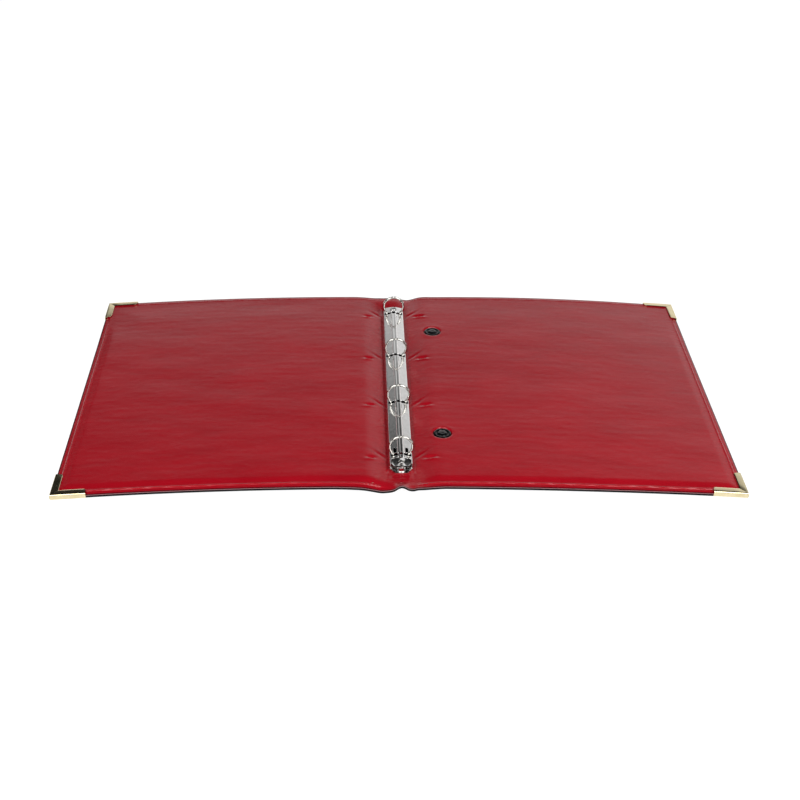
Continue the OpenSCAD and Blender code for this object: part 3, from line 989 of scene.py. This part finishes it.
def make_rivets():
    """Tubular rivets: a rolled, dished head above and a rolled foot below."""
    for node, middle in (("near_rivet", RED), ("far_rivet", SATIN)):
        lo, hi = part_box(node)
        x, y = (lo.x + hi.x) / 2 / MM, (lo.y + hi.y) / 2 / MM
        z0, seat = lo.z / MM, hi.z / MM - 1.0
        profile = [(0.15, z0 + 1.4), (1.0, z0 + 1.4), (1.0, z0 + 0.15), (1.3, z0), (2.4, z0),
                   (2.75, z0 + 0.15), (2.7, z0 + 0.42), (1.6, z0 + 0.52), (1.6, seat + 0.02),
                   (3.1, seat + 0.02), (3.35, seat + 0.12), (3.4, seat + 0.35),
                   (3.3, seat + 0.68), (3.05, seat + 0.9), (2.75, seat + 1.0), (2.5, seat + 0.96),
                   (2.28, seat + 0.82), (2.12, seat + 0.55), (1.98, seat + 0.42),
                   (1.2, seat + 0.36), (0.15, seat + 0.34)]
        bm = bmesh.new()
        lathe(bm, (x, y, 0.0), profile, 56)
        for f in bm.faces:
            c = f.calc_center_median()
            if c.z > (seat + 0.3) * MM and math.hypot(c.x - x * MM, c.y - y * MM) < 2.0 * MM:
                f.material_index = 1
        ob = from_bm(node + "_head", bm, [SATIN, middle], 50)
        flat_uv(ob.data)
        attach(ob, "spine")
        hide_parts(node)


# ---------------------------------------------------------------- CAD nodes that stay


def dress_nodes():
    """Gives the CAD nodes that stay in view their materials."""
    looks = {"cover_plate": NICKEL, "lever_pin": SHADED_WIRE,
             "far_washer": SATIN, "near_washer": SATIN, "left_rail": SHADED_SPRING, "right_rail": SHADED_SPRING,
             "spine_board": BOARD,
             "upper_stud_cap": PLASTIC, "lower_stud_cap": PLASTIC}
    for node, mat in looks.items():
        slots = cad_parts[node].material_slots
        for s in slots:
            s.material = mat


# ---------------------------------------------------------------- stage, light and camera


def make_stage():
    """Level floor, wide enough to reach the horizon, a little below the binder."""
    bm = bmesh.new()
    half, cells = 24.0, 24
    for i in range(cells + 1):
        for j in range(cells + 1):
            bm.verts.new((-half + 2 * half * i / cells, -half + 2 * half * j / cells, 0.0))
    bm.verts.ensure_lookup_table()
    for i in range(cells):
        for j in range(cells):
            a = i * (cells + 1) + j
            bm.faces.new([bm.verts[k] for k in (a, a + cells + 1, a + cells + 2, a + 1)])
    floor = from_bm("studio_floor", bm, [floor_white()])
    floor.location.z = -0.0002


def area_light(name, at, toward, size, power):
    data = bpy.data.lights.new(name, "AREA")
    data.shape = "RECTANGLE"
    data.size, data.size_y = size
    data.energy = power
    ob = bpy.data.objects.new(name, data)
    ob.location = at
    ob.rotation_euler = (Vector(toward) - Vector(at)).to_track_quat("-Z", "Y").to_euler()
    bpy.context.scene.collection.objects.link(ob)


def make_world():
    """White backdrop behind the binder, bright near the horizon and fading into a dark room above it."""
    world = bpy.data.worlds.new("studio")
    bpy.context.scene.world = world
    world.use_nodes = True
    tree = world.node_tree
    bg = tree.nodes["Background"]
    coord = tree.nodes.new("ShaderNodeTexCoord")
    split = tree.nodes.new("ShaderNodeSeparateXYZ")
    tree.links.new(coord.outputs["Generated"], split.inputs["Vector"])

    def calc(op, a, b):
        n = tree.nodes.new("ShaderNodeMath")
        n.operation = op
        for i, v in enumerate((a, b)):
            if isinstance(v, float):
                n.inputs[i].default_value = v
            else:
                tree.links.new(v, n.inputs[i])
        return n.outputs[0]

    def fade(v, a, b, lo, hi):
        n = tree.nodes.new("ShaderNodeMapRange")
        n.interpolation_type = "SMOOTHSTEP"
        for name, x in zip(("From Min", "From Max", "To Min", "To Max"), (a, b, lo, hi)):
            n.inputs[name].default_value = x
        tree.links.new(v, n.inputs["Value"])
        return n.outputs["Result"]

    x, y, z = split.outputs
    forward = calc("MAXIMUM", y, 0.05)
    side = calc("DIVIDE", x, forward)
    tilted = calc("SUBTRACT", z, calc("MULTIPLY", x, 0.15))
    height = fade(tilted, 0.41, 0.585, 1.0, 0.0)
    left = fade(side, -0.36, -0.27, 0.05, 1.0)
    right = fade(side, 0.36, 0.95, 1.0, 0.3)
    ahead = fade(y, 0.0, 0.35, 0.0, 1.0)
    panel = calc("MULTIPLY", calc("MULTIPLY", height, ahead), calc("MULTIPLY", left, right))
    horizon = calc("MULTIPLY", fade(z, 0.08, 0.34, 0.7, 0.0), fade(y, -0.3, 0.3, 0.2, 1.0))
    total = calc("ADD", calc("MULTIPLY", panel, 0.95), calc("ADD", horizon, 0.022))
    tree.links.new(total, bg.inputs["Strength"])
    bg.inputs["Color"].default_value = (1.0, 1.0, 1.0, 1)


def make_lights():
    make_world()
    area_light("softbox_left", (-0.72, -0.98, 0.88), (0, 0, 0), (1.0, 0.9), 16.2)
    area_light("softbox_right", (0.74, -0.95, 0.88), (0, 0, 0), (1.0, 0.9), 19.8)


def make_camera():
    """Camera that was fitted to the photograph."""
    pitch, yaw, roll = (math.radians(a) for a in (32.503, 2.394, 1.264))
    forward = Vector((math.sin(yaw) * math.cos(pitch), math.cos(yaw) * math.cos(pitch), -math.sin(pitch)))
    right = Vector((math.cos(yaw), -math.sin(yaw), 0))
    up = right.cross(forward)
    r2 = math.cos(roll) * right + math.sin(roll) * up
    u2 = -math.sin(roll) * right + math.cos(roll) * up
    turn = Matrix((r2, u2, -forward)).transposed().to_4x4()
    data = bpy.data.cameras.new("camera")
    data.lens = 61.284
    data.sensor_width = 36.0
    data.clip_start = 0.01
    ob = bpy.data.objects.new("camera", data)
    ob.matrix_world = Matrix.Translation((-0.040336, -1.042017, 0.657136)) @ turn
    bpy.context.scene.collection.objects.link(ob)
    bpy.context.scene.camera = ob


bpy.context.scene.view_settings.view_transform = "Standard"
make_camera()
make_stage()
make_lights()
dress_nodes()
make_covers()
make_corners()
make_studs()
make_lever()
make_rings()
make_rib()
make_rivets()
